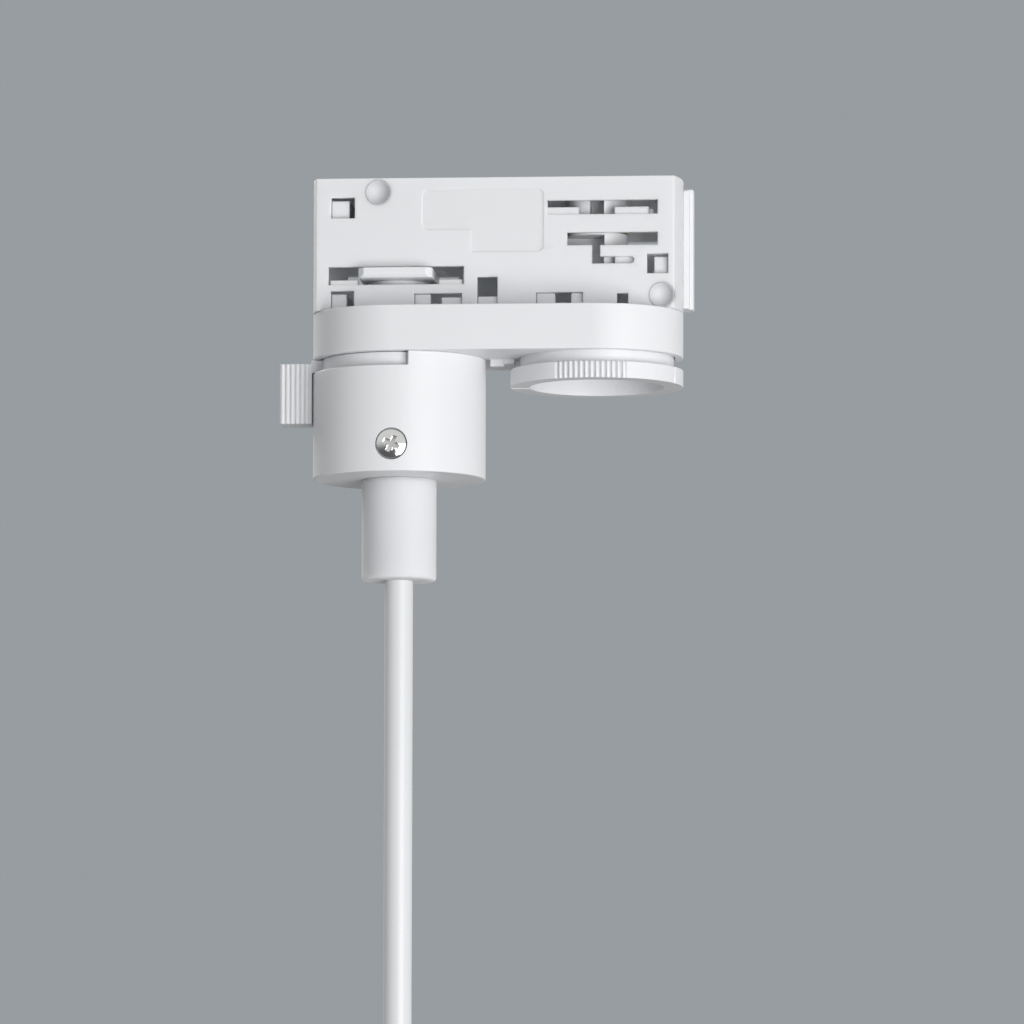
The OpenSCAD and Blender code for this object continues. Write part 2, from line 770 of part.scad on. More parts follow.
module cord_grip() {
    low = cord_low - grip_length;
    color([0.85, 0.86, 0.87])
    at_lock() difference() {
        rotate_extrude() polygon([[0, cord_low], [grip_radius - 1.5, cord_low],
            [grip_radius, cord_low - 1.5], [grip_radius, low], [nipple_radius, low],
            [nipple_radius, low - nipple_length], [0, low - nipple_length]]);
        disc(0.32 * nipple_radius, low - nipple_length - 1, cord_low - 6);
        y_rod(clamp_thread, 0, cord_low - grip_length / 2, -grip_radius - 1, -grip_radius + 1.5);
    }
}

// Lock, turns with the lever

module lock_lever() {
    first_rib = -knob_end + 1.4 * knob_rib_radius;
    rib_pitch = (knob_reach - 1.6) / (knob_ribs - 1);
    color([0.89, 0.9, 0.91])
    at_lock() difference() {
        union() {
            tube(ring_out, ring_in, lever_low, lever_high);
            disc(hub_radius, lever_low, lever_high);
            span(-ring_in - 1, -lock_radius, -lever_arm_half - 0.5, lever_arm_half + 0.5, lever_low, lever_high);
            span(-body_radius - 0.2, -ring_out + 1, -lever_arm_half, lever_arm_half, lever_low, lever_high);
            // Finger knob that hangs outside the pot
            intersection() {
                difference() {
                    span(-knob_end, -body_radius + 2, -knob_half, knob_half, knob_low, knob_high);
                    disc(body_radius + pass_gap, knob_low - 1, lever_low);
                    disc(body_radius - 0.8, knob_low - 1, 0);
                }
                translate([-body_radius, 0, 0]) disc(knob_reach + 0.5, knob_low - 1, 0);
            }
            for (i = [0 : knob_ribs - 1]) for (y = [-knob_half, knob_half])
                translate([first_rib + rib_pitch * i, y, 0])
                    disc(knob_rib_radius, knob_low, knob_high);
        }
        disc(lock_radius + seat_gap, lever_low - 1, 0);
    }
}

module lock_rotor() {
    color([0.86, 0.87, 0.88])
    at_lock() difference() {
        union() {
            disc(lock_radius, clip_z - 1.4, lock_top);
            disc(flange_radius, 0.2, 1.4);
            disc(flange_radius, wing_low - 1.2, wing_low);
        }
        disc(lock_bore, lever_low - 10, box_height);
        tube(lock_radius + 1, lock_radius - 0.6, clip_z - clip_thick, clip_z);
    }
}

module lock_wing() {
    bevel = 0.45 * wing_thick;
    corner = wing_corner * sqrt(2);
    color([0.9, 0.91, 0.92])
    at_lock() difference() {
        span(-wing_half_width, wing_half_width, -wing_reach, wing_reach, wing_low, wing_high);
        disc(lock_radius + seat_gap, 0, box_height);
        for (m = [0, 1]) mirror([0, m, 0]) {
            // Lead-in bevels along the tip and at its two corners
            translate([0, -wing_reach, wing_low]) rotate([45, 0, 0])
                cube([4 * wing_half_width, bevel, bevel], center = true);
            for (n = [0, 1]) mirror([n, 0, 0])
                translate([wing_half_width, -wing_reach, 0]) rotate([0, 0, 45])
                    cube([corner, corner, box_height], center = true);
        }
    }
}

module neutral_contact() {
    color([0.82, 0.62, 0.32])
    at_lock() {
        tube(inner_depth - 0.1, lock_radius + seat_gap, neutral_z, neutral_z + finger_thick);
        rotate([0, 0, 90]) finger(lock_radius + 0.8, neutral_z);
    }
}

module earth_contact() {
    color([0.82, 0.62, 0.32])
    at_lock() {
        tube(flange_radius, lock_radius + seat_gap, wing_high, earth_end);
        span(-finger_half, finger_half, lock_radius + 0.7, wing_reach + 0.15, wing_high, wing_high + 0.25);
    }
}

module lock_clip() {
    color([0.68, 0.68, 0.68])
    at_lock() difference() {
        tube(lock_radius + 1.4, lock_radius - 0.6 + seat_gap, clip_z - clip_thick + 0.05, clip_z - 0.05);
        slice(2 * lock_radius, -35, 35, clip_z - clip_thick - 1, 0);
    }
}

// Selector, turns with the knob

module selector_ring() {
    pitch = 3.55;
    color([0.9, 0.91, 0.92])
    at_selector() difference() {
        union() {
            tube(body_radius, ring_bore, ring_low, ring_high);
            tube(neck_radius, ring_bore, ring_high - e, web_high);
            disc(ring_bore + 1, web_low, web_high);
            disc(shaft_radius + 1.5, web_low, hub_high);
        }
        disc(shaft_radius + seat_gap, web_high, 0);
        disc(selector_head / 2 + 0.1, ring_low, 0);
        // Grip grooves at the front
        for (i = [0 : ring_grooves - 1]) rotate([0, 0, -90 + pitch * (i - (ring_grooves - 1) / 2)])
            translate([body_radius + 0.3 * groove_radius, 0, 0])
                disc(groove_radius, ring_low - 1, ring_high + 1);
        // Index line under the ring, and a flat beside the opposite side
        span(-body_radius - 1, -ring_bore + 1, -0.5, 0.5, ring_low - 1, ring_low + 0.6);
        rotate([0, 0, -22]) span(body_radius - 0.25, body_radius + 1, -0.3, 0.3, ring_low - 1, ring_high + 1);
    }
}

module selector_rotor() {
    color([0.88, 0.89, 0.9])
    at_selector() difference() {
        union() {
            disc(shaft_radius, web_high, fork_low + 0.5);
            disc(shaft_radius + 1.5, 0.2, 1.4);
            disc(drum_radius, lower_z - 5.9, slip_low);
            disc(fork_radius, fork_low, fork_high);
            disc(pivot_radius, pivot_low, roof_z - 0.4);
        }
        disc(selector_head / 2, web_high - 1, 0.5);
        // Open front left of the drum
        slice(3 * drum_radius, -180, -72, lower_z - 1.6, slip_low - 0.5);
        // Gap of the fork and of the drum below it, open to the front
        span(-1, 1.8, -half_depth, -0.8, fork_low + 0.9, box_height);
        span(-1, 1.8, -half_depth, -0.8, lower_z - 5, slip_low - 0.6);
        rotate([0, 0, upper_park]) span(2.2, half_depth, -finger_half - seat_gap, finger_half + seat_gap,
            upper_z - seat_gap, upper_z + finger_thick + seat_gap);
        rotate([0, 0, lower_park]) span(2.2, half_depth, -finger_half - seat_gap, finger_half + seat_gap,
            lower_z - seat_gap, lower_z + finger_thick + seat_gap);
    }
}

module selector_screw() {
    color([0.72, 0.72, 0.73])
    at_selector() {
        difference() {
            disc(selector_head, web_low - 2, web_low);
            cross_recess(0.6 * selector_head, web_low - 3, web_low - 1);
        }
        disc(selector_head / 2 - seat_gap, web_low - e, 0);
    }
}

module slip_ring() {
    color([0.82, 0.62, 0.32])
    at_selector() tube(slip_radius, shaft_radius + seat_gap, slip_low, slip_high);
}

module upper_contact() {
    color([0.82, 0.62, 0.32]) at_selector() rotate([0, 0, upper_park]) finger(2.3, upper_z);
}

module lower_contact() {
    color([0.82, 0.62, 0.32]) at_selector() rotate([0, 0, lower_park]) finger(2.3, lower_z);
}

front_shell();
rear_shell();
housing_pins();
guide_key();
base_collar();
base_plate();
cable_pot();
pot_screws();
clamp_screw();
cord_clamp();
cord_sleeve();
cord_tail();
live_core();
neutral_core();
earth_core();
live_brush();
neutral_brush();
earth_brush();
detent_spring();
cord();
cord_grip();
lock_lever();
lock_rotor();
lock_wing();
neutral_contact();
earth_contact();
lock_clip();
selector_ring();
selector_rotor();
selector_screw();
slip_ring();
upper_contact();
lower_contact();
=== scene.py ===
"""Looks of a pendant adapter for a three-circuit lighting track.

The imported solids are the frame. The moulded pieces are copies of them with softened edges, the free
cable and the nipple thread are swept by Geometry Nodes, and every piece has a procedural finish.
All lengths are in metres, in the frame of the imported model.
"""

import json
import logging
import math
from abc import ABC, abstractmethod
from dataclasses import dataclass, field
from enum import Enum
from typing import Any

import bmesh
import bpy
from mathutils import Matrix, Vector
from mathutils.geometry import delaunay_2d_cdt

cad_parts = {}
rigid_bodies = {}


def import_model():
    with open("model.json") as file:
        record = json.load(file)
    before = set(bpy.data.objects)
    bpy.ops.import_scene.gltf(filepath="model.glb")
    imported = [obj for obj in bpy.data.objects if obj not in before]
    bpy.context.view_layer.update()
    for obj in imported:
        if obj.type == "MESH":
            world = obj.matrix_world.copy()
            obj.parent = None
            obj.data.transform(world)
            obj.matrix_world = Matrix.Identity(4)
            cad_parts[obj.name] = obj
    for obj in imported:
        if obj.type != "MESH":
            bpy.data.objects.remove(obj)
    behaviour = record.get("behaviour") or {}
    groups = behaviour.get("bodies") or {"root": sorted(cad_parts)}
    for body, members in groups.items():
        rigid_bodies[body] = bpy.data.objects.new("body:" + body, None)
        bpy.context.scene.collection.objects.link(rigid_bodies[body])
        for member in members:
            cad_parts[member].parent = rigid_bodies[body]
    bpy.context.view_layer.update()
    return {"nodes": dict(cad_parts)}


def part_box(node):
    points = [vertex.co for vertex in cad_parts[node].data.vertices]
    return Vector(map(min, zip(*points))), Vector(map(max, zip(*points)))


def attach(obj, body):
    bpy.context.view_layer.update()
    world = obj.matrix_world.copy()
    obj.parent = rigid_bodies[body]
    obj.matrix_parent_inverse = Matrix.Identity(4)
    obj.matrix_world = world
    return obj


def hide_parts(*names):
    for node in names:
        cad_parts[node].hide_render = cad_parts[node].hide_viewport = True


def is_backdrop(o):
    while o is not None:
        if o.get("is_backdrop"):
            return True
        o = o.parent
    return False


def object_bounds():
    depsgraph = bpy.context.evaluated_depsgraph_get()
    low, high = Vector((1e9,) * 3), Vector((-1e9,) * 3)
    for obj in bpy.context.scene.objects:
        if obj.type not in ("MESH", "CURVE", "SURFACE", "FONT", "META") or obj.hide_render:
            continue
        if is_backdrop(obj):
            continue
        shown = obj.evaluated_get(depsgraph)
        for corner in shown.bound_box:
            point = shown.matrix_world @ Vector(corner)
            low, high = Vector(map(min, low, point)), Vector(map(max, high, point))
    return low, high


LOG = logging.getLogger("track_adapter")
MM = 0.001
BOX_POWER = 40.0
Colour = tuple[float, float, float]
Solids = dict[str, bpy.types.Object]


class Body(Enum):
    """The rigid bodies of the adapter."""

    HOUSING = "housing"
    LOCK = "lock"
    SELECTOR = "selector"


class Slot(Enum):
    """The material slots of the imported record."""

    WHITE = "white_plastic"
    INNER = "inner_plastic"
    SLEEVE = "sleeve"
    JACKET = "cable_jacket"
    PLATED = "plated_steel"
    SPRING = "spring_steel"
    BRASS = "contact_brass"
    BROWN = "core_brown"
    BLUE = "core_blue"
    EARTH = "core_earth"


class Way(Enum):
    """The two ways through the border of a node group."""

    IN = "INPUT"
    OUT = "OUTPUT"


def in_mm(x: float, y: float, z: float) -> Vector:
    """Returns a point or a size that is given in millimetres."""
    return Vector((x, y, z)) * MM


def set_inputs(node: bpy.types.Node, values: dict[str, Any]) -> None:
    """Sets constants on the inputs of a node, by name."""
    for name, value in values.items():
        node.inputs[name].default_value = value


@dataclass
class Graph:
    """A node tree with short ways to add and join its nodes."""

    tree: bpy.types.NodeTree

    def add(self, kind: str, values: dict[str, Any] | None = None, **settings: Any) -> bpy.types.Node:
        """Adds a node.

        Args:
            kind: Blender's type name of the node.
            values: constants of its inputs, by name.
            **settings: properties of the node, by name.

        Returns:
            The new node.
        """
        node = self.tree.nodes.new(kind)
        for name, value in settings.items():
            setattr(node, name, value)
        set_inputs(node, values or {})
        return node

    def join(self, source: bpy.types.NodeSocket, target: bpy.types.NodeSocket) -> None:
        """Links an output to an input."""
        self.tree.links.new(source, target)

    def mix_shaders(self, factor: bpy.types.NodeSocket, low: bpy.types.NodeSocket,
                    high: bpy.types.NodeSocket) -> bpy.types.NodeSocket:
        """Mixes two shaders.

        Args:
            factor: the output that chooses between them.
            low: the shader at a factor of 0.
            high: the shader at a factor of 1.

        Returns:
            The output of the mix.
        """
        mix = self.add("ShaderNodeMixShader")
        for source, target in zip((factor, low, high), mix.inputs):
            self.join(source, target)
        return mix.outputs[0]

    def socket(self, name: str, way: Way, kind: str, default: float | None = None) -> None:
        """Gives the tree a named socket.

        Args:
            name: the name of the socket.
            way: whether it leads in or out.
            kind: Blender's type name of the socket.
            default: the value of a number that isn't set.
        """
        made = self.tree.interface.new_socket(name, in_out=way.value, socket_type=kind)
        if default is not None:
            made.default_value = default


class MouldGrain:
    """Shader group: the fine texture and the slow unevenness of a moulded surface."""

    NAME = "mould_grain"
    GRAIN_SCALE = 4000.0
    GRAIN_DETAIL = 3.0
    GRAIN_ROUGHNESS = 0.6
    MOTTLE_SCALE = 60.0
    MOTTLE_DETAIL = 2.0

    @classmethod
    def tree(cls) -> bpy.types.NodeTree:
        """Returns the group, built on its first use."""
        return bpy.data.node_groups.get(cls.NAME) or cls._build()

    @classmethod
    def _build(cls) -> bpy.types.NodeTree:
        """Builds the group: a grain height and a mottle mask on given coordinates.

        Returns:
            The new group.
        """
        graph = Graph(bpy.data.node_groups.new(cls.NAME, "ShaderNodeTree"))
        graph.socket("Vector", Way.IN, "NodeSocketVector")
        graph.socket("Grain Scale", Way.IN, "NodeSocketFloat", cls.GRAIN_SCALE)
        graph.socket("Mottle Scale", Way.IN, "NodeSocketFloat", cls.MOTTLE_SCALE)
        graph.socket("Height", Way.OUT, "NodeSocketFloat")
        graph.socket("Mottle", Way.OUT, "NodeSocketFloat")
        source = graph.add("NodeGroupInput")
        result = graph.add("NodeGroupOutput")
        fine = {"Detail": cls.GRAIN_DETAIL, "Roughness": cls.GRAIN_ROUGHNESS}
        grain = graph.add("ShaderNodeTexNoise", fine)
        mottle = graph.add("ShaderNodeTexNoise", {"Detail": cls.MOTTLE_DETAIL})
        for noise, scale in ((grain, "Grain Scale"), (mottle, "Mottle Scale")):
            graph.join(source.outputs["Vector"], noise.inputs["Vector"])
            graph.join(source.outputs[scale], noise.inputs["Scale"])
        graph.join(grain.outputs["Fac"], result.inputs["Height"])
        graph.join(mottle.outputs["Fac"], result.inputs["Mottle"])
        return graph.tree


@dataclass(frozen=True)
class Finish(ABC):
    """A surface finish.

    Attributes:
        name: the name of its material.
        shade: its colour.
        shade_deep: the colour that its mottle mixes in.
        rough_low: its least roughness.
        rough_high: its greatest roughness.
        grain_scale: how fine its grain is.
        grain_depth: how deep its grain is.
        mottle_scale: how fine its mottle is.
    """

    name: str
    shade: Colour
    shade_deep: Colour
    rough_low: float
    rough_high: float
    grain_scale: float
    grain_depth: float
    mottle_scale: float = MouldGrain.MOTTLE_SCALE

    def material(self) -> bpy.types.Material:
        """Returns the material of this finish, built on its first use."""
        return bpy.data.materials.get(self.name) or self._build()

    @abstractmethod
    def dress(self, shader: bpy.types.Node) -> None:
        """Sets the constants of the shader that make this kind of surface."""

    def stretch(self) -> Vector:
        """Returns how far the grain is stretched along each axis."""
        return Vector((1.0, 1.0, 1.0))

    def _build(self) -> bpy.types.Material:
        """Builds the material: mottled colour and roughness, and a grain bump.

        Returns:
            The new material.
        """
        material = bpy.data.materials.new(self.name)
        material.use_nodes = True
        graph = Graph(material.node_tree)
        shader = graph.tree.nodes["Principled BSDF"]
        place = graph.add("ShaderNodeTexCoord")
        mapping = graph.add("ShaderNodeMapping", {"Scale": self.stretch()})
        scales = {"Grain Scale": self.grain_scale, "Mottle Scale": self.mottle_scale}
        grain = graph.add("ShaderNodeGroup", scales, node_tree=MouldGrain.tree())
        shades = {"A": (*self.shade, 1.0), "B": (*self.shade_deep, 1.0)}
        tint = graph.add("ShaderNodeMix", shades, data_type="RGBA")
        span = {"To Min": self.rough_low, "To Max": self.rough_high}
        rough = graph.add("ShaderNodeMapRange", span)
        bump = graph.add("ShaderNodeBump", {"Distance": self.grain_depth})
        graph.join(place.outputs["Object"], mapping.inputs["Vector"])
        graph.join(mapping.outputs["Vector"], grain.inputs["Vector"])
        graph.join(grain.outputs["Mottle"], tint.inputs["Factor"])
        graph.join(grain.outputs["Mottle"], rough.inputs["Value"])
        graph.join(grain.outputs["Height"], bump.inputs["Height"])
        graph.join(tint.outputs["Result"], shader.inputs["Base Color"])
        graph.join(rough.outputs["Result"], shader.inputs["Roughness"])
        graph.join(bump.outputs["Normal"], shader.inputs["Normal"])
        self.dress(shader)
        return material


@dataclass(frozen=True)
class MouldedPlastic(Finish):
    """An injection-moulded or extruded plastic, satin to glossy.

    Attributes:
        gloss_coat: weight of a clear gloss over the plastic.
        coat_rough: roughness of that gloss.
        glow: share of the light that passes below the surface.
        glow_depth: how far that light goes.
        refraction: its index of refraction.
    """

    gloss_coat: float = 0.0
    coat_rough: float = 0.12
    glow: float = 0.15
    glow_depth: float = 1.0 * MM
    refraction: float = 1.5

    def dress(self, shader: bpy.types.Node) -> None:
        """Sets a plastic's gloss, and the light that passes through its walls.

        Args:
            shader: the shader of the material.
        """
        set_inputs(shader, {
            "IOR": self.refraction,
            "Subsurface Weight": self.glow,
            "Subsurface Radius": (1.0, 1.0, 1.0),
            "Subsurface Scale": self.glow_depth,
            "Coat Weight": self.gloss_coat,
            "Coat Roughness": self.coat_rough,
        })


@dataclass(frozen=True)
class DrawnMetal(Finish):
    """A plated, stamped or drawn metal, with its grain drawn out along Z.

    Attributes:
        draw: scale of the grain along Z, against that across it.
    """

    draw: float = 0.15

    def dress(self, shader: bpy.types.Node) -> None:
        """Makes the surface metal."""
        set_inputs(shader, {"Metallic": 1.0})

    def stretch(self) -> Vector:
        """Returns a stretch that draws the grain out along Z."""
        return Vector((1.0, 1.0, self.draw))


FINISHES: dict[Slot, Finish] = {
    Slot.WHITE: MouldedPlastic(
        "white_moulding", shade=(0.81, 0.82, 0.84), shade_deep=(0.78, 0.79, 0.81),
        rough_low=0.34, rough_high=0.44, grain_scale=3200.0, grain_depth=0.012 * MM),
    Slot.INNER: MouldedPlastic(
        "inner_moulding", shade=(0.77, 0.78, 0.80), shade_deep=(0.74, 0.75, 0.77),
        rough_low=0.38, rough_high=0.48, grain_scale=2600.0, grain_depth=0.012 * MM),
    Slot.SLEEVE: MouldedPlastic(
        "sleeve_moulding", shade=(0.75, 0.76, 0.78), shade_deep=(0.72, 0.73, 0.75),
        rough_low=0.58, rough_high=0.68, grain_scale=2800.0, grain_depth=0.010 * MM,
        glow=1.0, glow_depth=4.0 * MM),
    Slot.JACKET: MouldedPlastic(
        "jacket_extrusion", shade=(0.74, 0.75, 0.76), shade_deep=(0.71, 0.72, 0.73),
        rough_low=0.30, rough_high=0.38, grain_scale=1500.0, grain_depth=0.006 * MM,
        mottle_scale=40.0, gloss_coat=0.1, glow=0.0),
    Slot.PLATED: DrawnMetal(
        "bright_plating", shade=(0.78, 0.78, 0.77), shade_deep=(0.70, 0.70, 0.69),
        rough_low=0.10, rough_high=0.20, grain_scale=5000.0, grain_depth=0.004 * MM,
        mottle_scale=900.0),
    Slot.SPRING: DrawnMetal(
        "spring_strip", shade=(0.56, 0.56, 0.56), shade_deep=(0.48, 0.48, 0.49),
        rough_low=0.28, rough_high=0.40, grain_scale=4000.0, grain_depth=0.006 * MM,
        mottle_scale=300.0),
    Slot.BRASS: DrawnMetal(
        "contact_strip", shade=(0.78, 0.57, 0.28), shade_deep=(0.70, 0.49, 0.22),
        rough_low=0.24, rough_high=0.36, grain_scale=4000.0, grain_depth=0.006 * MM,
        mottle_scale=300.0),
    Slot.BROWN: MouldedPlastic(
        "brown_core", shade=(0.22, 0.11, 0.06), shade_deep=(0.18, 0.09, 0.05),
        rough_low=0.34, rough_high=0.44, grain_scale=1800.0, grain_depth=0.006 * MM),
    Slot.BLUE: MouldedPlastic(
        "blue_core", shade=(0.07, 0.18, 0.46), shade_deep=(0.06, 0.15, 0.40),
        rough_low=0.34, rough_high=0.44, grain_scale=1800.0, grain_depth=0.006 * MM),
    Slot.EARTH: MouldedPlastic(
        "earth_core", shade=(0.28, 0.46, 0.08), shade_deep=(0.24, 0.40, 0.07),
        rough_low=0.34, rough_high=0.44, grain_scale=1800.0, grain_depth=0.006 * MM),
}

THIN_WALL = MouldedPlastic(
    "thin_wall_moulding", shade=(0.83, 0.84, 0.86), shade_deep=(0.80, 0.81, 0.83),
    rough_low=0.34, rough_high=0.44, grain_scale=3200.0, grain_depth=0.012 * MM,
    glow=0.85, glow_depth=1.4 * MM)
# Pins: a darker, rougher copy of the white moulding. The darker colour is painted shade that stands
# in for the shading of the pins' dished ends; the plastic is the same white.
SHADED_PIN_MOULDING = MouldedPlastic(
    "pin_painted_shade", shade=(0.66, 0.67, 0.69), shade_deep=(0.63, 0.64, 0.66),
    rough_low=0.50, rough_high=0.60, grain_scale=3200.0, grain_depth=0.012 * MM)


def dress(piece: bpy.types.Object, finish: Finish) -> None:
    """Gives a piece a finish, in place of what it had."""
    piece.data.materials.clear()
    piece.data.materials.append(finish.material())


def show(name: str, mesh: bpy.types.Mesh) -> bpy.types.Object:
    """Links a mesh to the scene.

    Args:
        name: the name of the object.
        mesh: its mesh.

    Returns:
        The new object, at the origin.
    """
    piece = bpy.data.objects.new(name, mesh)
    bpy.context.scene.collection.objects.link(piece)
    return piece


def settle(piece: bpy.types.Object) -> bpy.types.Object:
    """Turns a piece with live modifiers into a plain mesh of the same name.

    Args:
        piece: the object whose modifiers are done.

    Returns:
        The object, with its evaluated mesh and no modifiers.
    """
    evaluated = piece.evaluated_get(bpy.context.evaluated_depsgraph_get())
    mesh = bpy.data.meshes.new_from_object(evaluated)
    piece.modifiers.clear()
    piece.data = mesh
    return piece


def seat(piece: bpy.types.Object, body: Body, slot: Slot, *nodes: str) -> bpy.types.Object:
    """Lets a finished piece ride on its body and stand for its solids.

    Args:
        piece: the finished object.
        body: the body that carries it.
        slot: not used.
        *nodes: the solids that it stands for.

    Returns:
        The same object.
    """
    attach(piece, body.value)
    if nodes:
        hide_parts(*nodes)
    LOG.info("%s on %s: %d faces", piece.name, body.value, len(piece.data.polygons))
    return piece


@dataclass(frozen=True)
class QuietZone:
    """A place whose edges stay sharp, because they are hidden or too close together to round.

    Attributes:
        centre: its middle.
        half: its half size along each axis.
        power: 2 for an ellipsoid, and more for a shape that nears a box.
    """

    centre: Vector
    half: Vector
    power: float = 2.0

    def holds(self, point: Vector) -> bool:
        """Tells whether a point is in the place."""
        return sum(abs(a / h) ** self.power for a, h in zip(point - self.centre, self.half)) < 1.0


@dataclass
class SoftenedMoulding:
    """A copy of a solid whose sharp edges are rounded as a mould rounds them.

    Attributes:
        node: the name of the solid.
        body: the body that carries it.
        slot: the record's slot of its finish.
        edge: how wide the rounding is.
        quiet: the places whose edges stay sharp.
        finish: its finish, where that isn't the slot's own.
        segments: faces across a rounding.
        sharp_deg: the least angle of an edge that is rounded.
        merge: how near two corners are that become one.
        flat_deg: the greatest angle between faces that become one.
        same_point: how near two points of a filled face are that become one, in millimetres.
        least_height: the height below which a triangle is only a line, in millimetres.
    """

    node: str
    body: Body
    slot: Slot
    edge: float
    quiet: tuple[QuietZone, ...] = ()
    finish: Finish | None = None
    segments: int = 3
    sharp_deg: float = 28.0
    merge: float = 0.002 * MM
    flat_deg: float = 0.3
    same_point: float = 1e-6
    least_height: float = 1e-5

    def build(self, solid: bpy.types.Object) -> bpy.types.Object:
        """Makes the rounded copy and seats it in place of the solid.

        Args:
            solid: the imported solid's object.

        Returns:
            The finished piece.
        """
        mesh = solid.data.copy()
        mesh.name = f"{self.node}_moulding"
        self._join_faces(mesh)
        piece = show(f"{self.node}_moulding", mesh)
        self._round_edges(piece)
        self._fill_faces(piece.data)
        self._keep_flats(piece)
        dress(piece, self.finish or FINISHES[self.slot])
        return seat(piece, self.body, self.slot, self.node)

    def _is_rounded(self, edge: bmesh.types.BMEdge) -> bool:
        """Tells whether an edge is sharp and outside the quiet places.

        Args:
            edge: an edge of the merged mesh.

        Returns:
            Whether it is rounded.
        """
        if len(edge.link_faces) != 2 or edge.calc_face_angle(0.0) < math.radians(self.sharp_deg):
            return False
        middle = (edge.verts[0].co + edge.verts[1].co) / 2
        return not any(zone.holds(middle) for zone in self.quiet)

    def _join_faces(self, mesh: bpy.types.Mesh) -> None:
        """Merges the loose triangles, joins those of one plane and marks the edges to round.

        Args:
            mesh: the copy of the solid's mesh.
        """
        shape = bmesh.new()
        shape.from_mesh(mesh)
        bmesh.ops.remove_doubles(shape, verts=shape.verts, dist=self.merge)
        bmesh.ops.dissolve_limit(shape, angle_limit=math.radians(self.flat_deg),
                                 verts=shape.verts, edges=shape.edges)
        weight = shape.edges.layers.float.new("bevel_weight_edge")
        for edge in shape.edges:
            rounded = self._is_rounded(edge)
            edge[weight] = float(rounded)
            edge.smooth = rounded or edge.calc_face_angle(math.pi) < math.radians(self.sharp_deg)
        for face in shape.faces:
            face.smooth = True
        shape.to_mesh(mesh)
        shape.free()

    def _round_edges(self, piece: bpy.types.Object) -> None:
        """Rounds the marked edges.

        Args:
            piece: the object with the marked mesh.
        """
        bevel = piece.modifiers.new("edge", "BEVEL")
        bevel.width = self.edge
        bevel.segments = self.segments
        bevel.limit_method = "WEIGHT"
        bevel.use_clamp_overlap = False
        settle(piece)

    def _fill_faces(self, mesh: bpy.types.Mesh) -> None:
        """Fills each face of many corners with triangles that don't lie over each other.

        Args:
            mesh: the rounded mesh.
        """
        shape = bmesh.new()
        shape.from_mesh(mesh)
        for face in [f for f in shape.faces if len(f.verts) > 4]:
            self._fill(shape, face)
        shape.to_mesh(mesh)
        shape.free()

    def _fill(self, shape: bmesh.types.BMesh, face: bmesh.types.BMFace) -> None:
        """Puts triangles in the place of one face, on its own plane.

        Args:
            shape: the mesh in work.
            face: the face that is replaced.
        """
        turn = face.normal.rotation_difference(Vector((0.0, 0.0, 1.0))).to_matrix()
        corners = list(face.verts)
        laid = [turn @ corner.co / MM for corner in corners]
        ring = [p.to_2d() for p in laid]
        height = sum(p.z for p in laid) / len(laid)
        points, _, triangles, sources, _, _ = delaunay_2d_cdt(
            ring, [], [list(range(len(ring)))], 0, self.same_point)
        verts = []
        for point, source in zip(points, sources):
            spot = turn.inverted() @ Vector((point.x, point.y, height)) * MM
            verts.append(corners[source[0]] if source else shape.verts.new(spot))
        bmesh.ops.delete(shape, geom=[face], context="FACES_ONLY")
        for triangle in triangles:
            trio = [verts[i] for i in triangle]
            if self._is_inside([points[i] for i in triangle], ring) and not shape.faces.get(trio):
                shape.faces.new(trio).smooth = True

    def _is_inside(self, triangle: list[Vector], ring: list[Vector]) -> bool:
        """Tells whether a triangle has an area and lies inside a closed line.

        Args:
            triangle: its three corners.
            ring: the corners of the line.

        Returns:
            Whether it belongs to the face that the line bounds.
        """
        first, second, third = triangle
        longest = max((second - first).length, (third - second).length, (first - third).length)
        if abs((second - first).cross(third - first)) < self.least_height * longest:
            return False
        return self._turns((first + second + third) / 3, ring) > 0

    @staticmethod
    def _turns(point: Vector, ring: list[Vector]) -> int:
        """Counts how often a closed line goes round a point of its plane.

        Args:
            point: the point.
            ring: the corners of the line.

        Returns:
            The number of turns, above 0 for a point inside a face.
        """
        turns = 0
        for start, end in zip(ring, ring[1:] + ring[:1]):
            side = (end - start).cross(point - start)
            if start.y <= point.y < end.y and side > 0:
                turns += 1
            elif end.y <= point.y < start.y and side < 0:
                turns -= 1
        return turns

    def _keep_flats(self, piece: bpy.types.Object) -> None:
        """Gives the piece normals that keep its flats flat.

        Args:
            piece: the object with the filled mesh.
        """
        flats = piece.modifiers.new("flats", "WEIGHTED_NORMAL")
        flats.keep_sharp = True
        settle(piece)


class SubAssembly(ABC):
    """A group of pieces that are built and dressed together."""

    @abstractmethod
    def build(self, solids: Solids) -> None:
        """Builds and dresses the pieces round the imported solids."""

    def soften(self, solids: Solids, *mouldings: SoftenedMoulding) -> None:
        """Builds each softened moulding from its solid."""
        for moulding in mouldings:
            moulding.build(solids[moulding.node])

    def carry_over(self, solids: Solids, slot: Slot, *nodes: str) -> None:
        """Keeps solids as they are, with the finish of a slot.

        Args:
            solids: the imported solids, by name.
            slot: the slot of the finish.
            *nodes: the names of the solids that are kept.
        """
        for name in nodes:
            dress(solids[name], FINISHES[slot])
            LOG.info("%s carried over as %s", name, slot.value)


